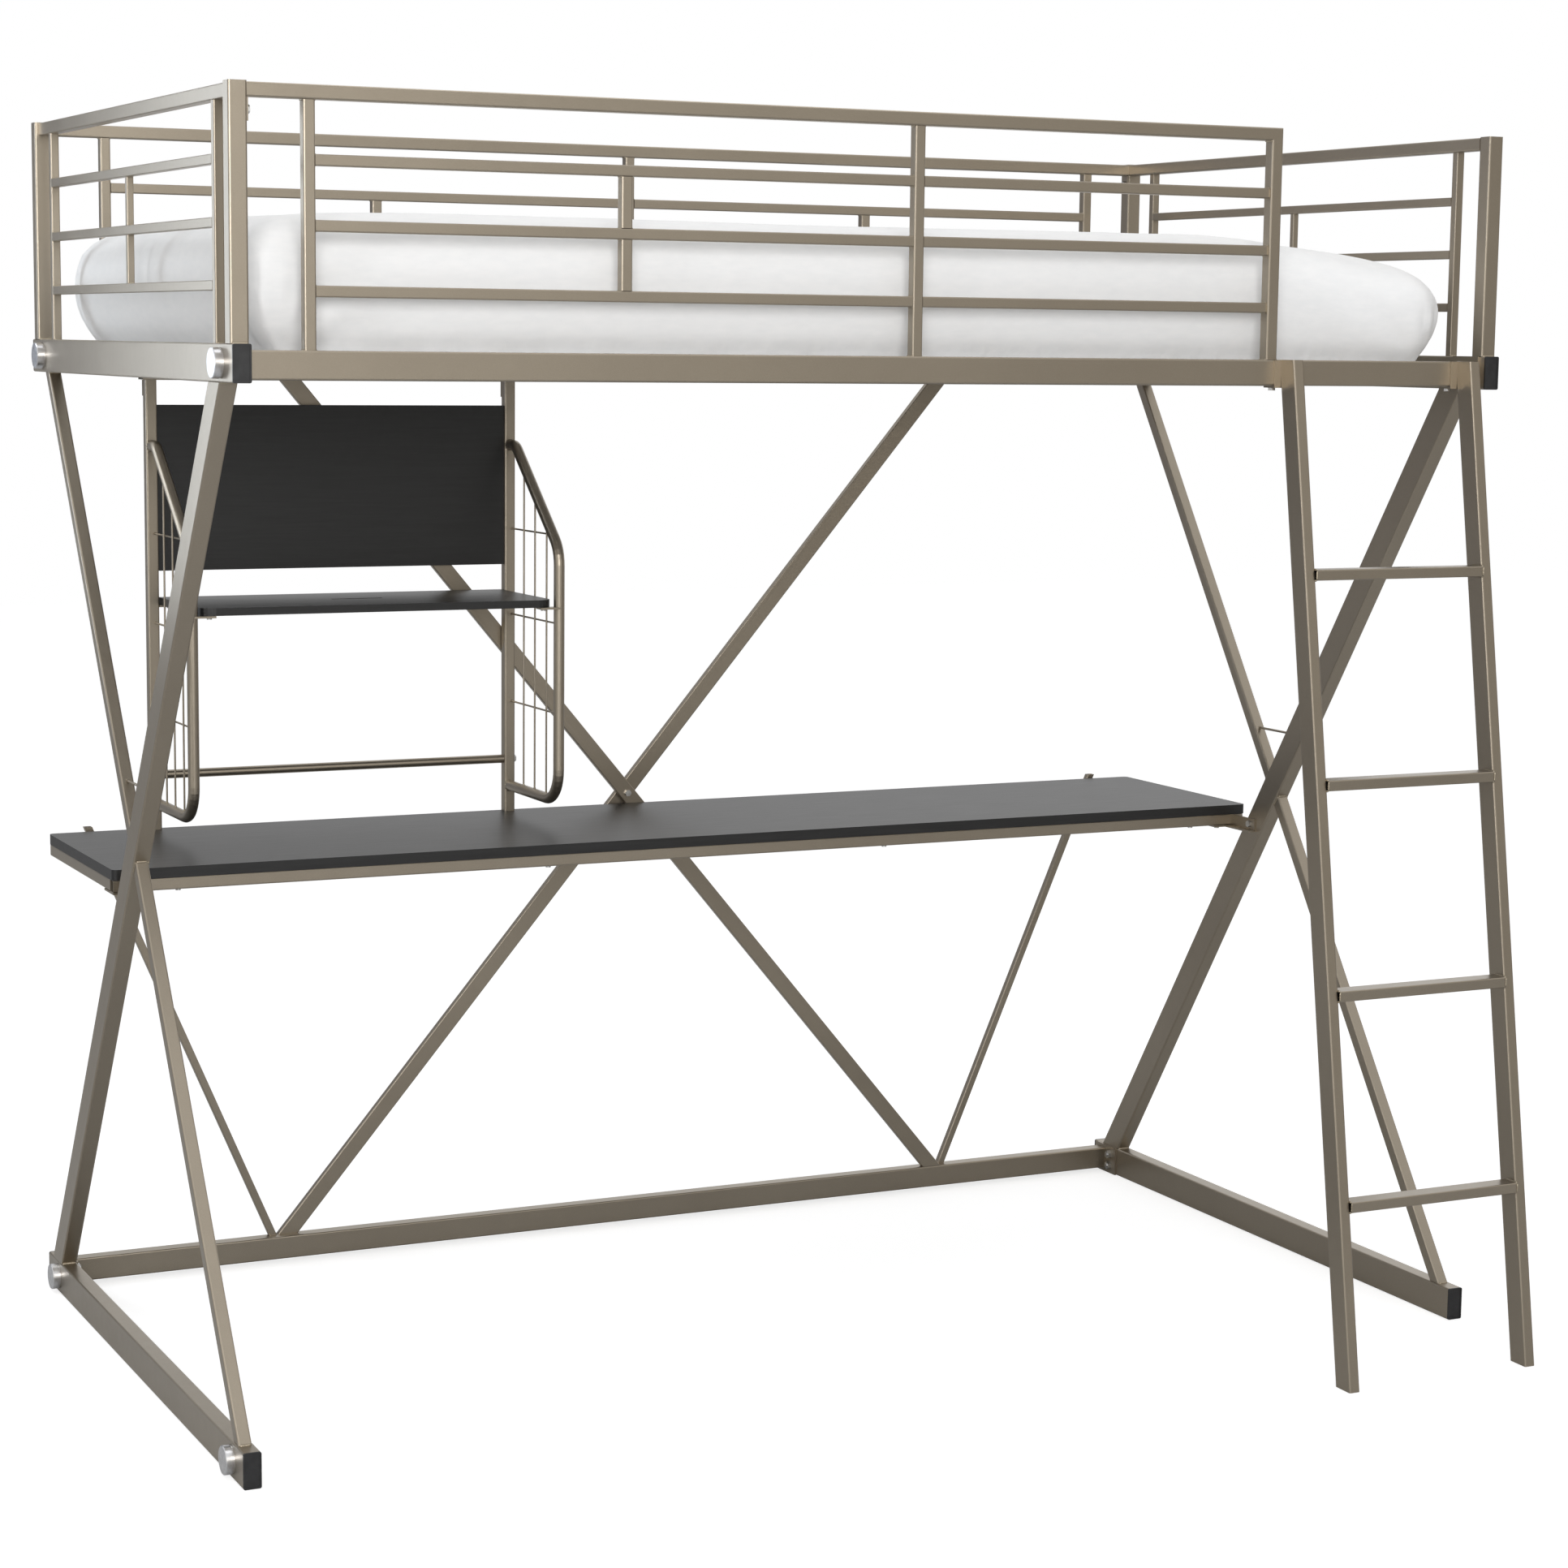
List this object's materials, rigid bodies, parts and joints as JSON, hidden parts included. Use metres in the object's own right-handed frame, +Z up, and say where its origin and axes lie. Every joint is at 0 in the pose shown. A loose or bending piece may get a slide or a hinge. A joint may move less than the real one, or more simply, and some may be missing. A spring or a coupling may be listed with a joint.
{
  "type": "loft bed with desk",
  "caption": "Steel-tube loft bed with crossed end legs, guard rails, a slanted ladder, a long desk and a small shelf hutch below.",
  "frame": {"origin": "on the floor, at the middle of the footprint that runs from the ladder's feet to the rear rail ends", "axes": "+X along the bed to the right seen from the ladder's side, +Y to the back, +Z up"},
  "size_m": [2.004, 1.327, 1.835],
  "materials": {
    "frame_steel": "satin warm metallic grey",
    "plastic_cap": "black, slightly textured",
    "cover_metal": "satin silver",
    "fastener": "zinc plated",
    "laminate": "black wood-grain laminate",
    "sheet": "white woven cotton"
  },
  "bodies": {
    "bed": {"left_end_rail": "frame_steel", "left_posts": "frame_steel", "left_top_rail": "frame_steel", "left_uprights": "frame_steel", "left_slats": "frame_steel", "left_long_leg": "frame_steel", "left_short_legs": "frame_steel", "left_floor_rail": "frame_steel", "right_end_rail": "frame_steel", "right_posts": "frame_steel", "right_top_rail": "frame_steel", "right_uprights": "frame_steel", "right_slats": "frame_steel", "right_long_leg": "frame_steel", "right_short_legs": "frame_steel", "right_floor_rail": "frame_steel", "tie_rods": "frame_steel", "end_caps": "plastic_cap", "bolt_covers": "cover_metal", "frame_bolts": "fastener", "frame_nuts": "fastener", "front_side_rail": "frame_steel", "rear_side_rail": "frame_steel", "rear_stretcher": "frame_steel", "flange_plates": "frame_steel", "front_guard_rail": "frame_steel", "front_guard_entry_post": "frame_steel", "front_guard_uprights": "frame_steel", "front_guard_slats": "frame_steel", "rear_guard_rail": "frame_steel", "rear_guard_uprights": "frame_steel", "rear_guard_slats": "frame_steel", "guard_tabs": "frame_steel", "front_brace": "frame_steel", "rear_brace": "frame_steel", "desk_struts": "frame_steel", "desk_board": "laminate", "desk_front_rail": "frame_steel", "desk_rear_rail": "frame_steel", "desk_end_rails": "frame_steel", "desk_brackets": "frame_steel", "board_screws": "fastener", "small_bolts": "fastener", "hutch_posts": "frame_steel", "hutch_hangers": "frame_steel", "back_panel": "laminate", "shelf": "laminate", "shelf_tabs": "frame_steel", "left_side_loop": "frame_steel", "right_side_loop": "frame_steel", "loop_wires": "frame_steel", "crossbar": "frame_steel", "ladder_rails": "frame_steel", "ladder_rungs": "frame_steel", "ladder_brackets": "frame_steel", "slat_ledges": "frame_steel", "bed_slats": "frame_steel", "centre_beam": "frame_steel"},
    "mattress": {"mattress": "sheet"}
  },
  "joints": [
    {"name": "mattress_lift", "type": "slide", "parent": "bed", "child": "mattress", "axis": [0, 0, 1], "range_m": [0, 0.4]}
  ]
}
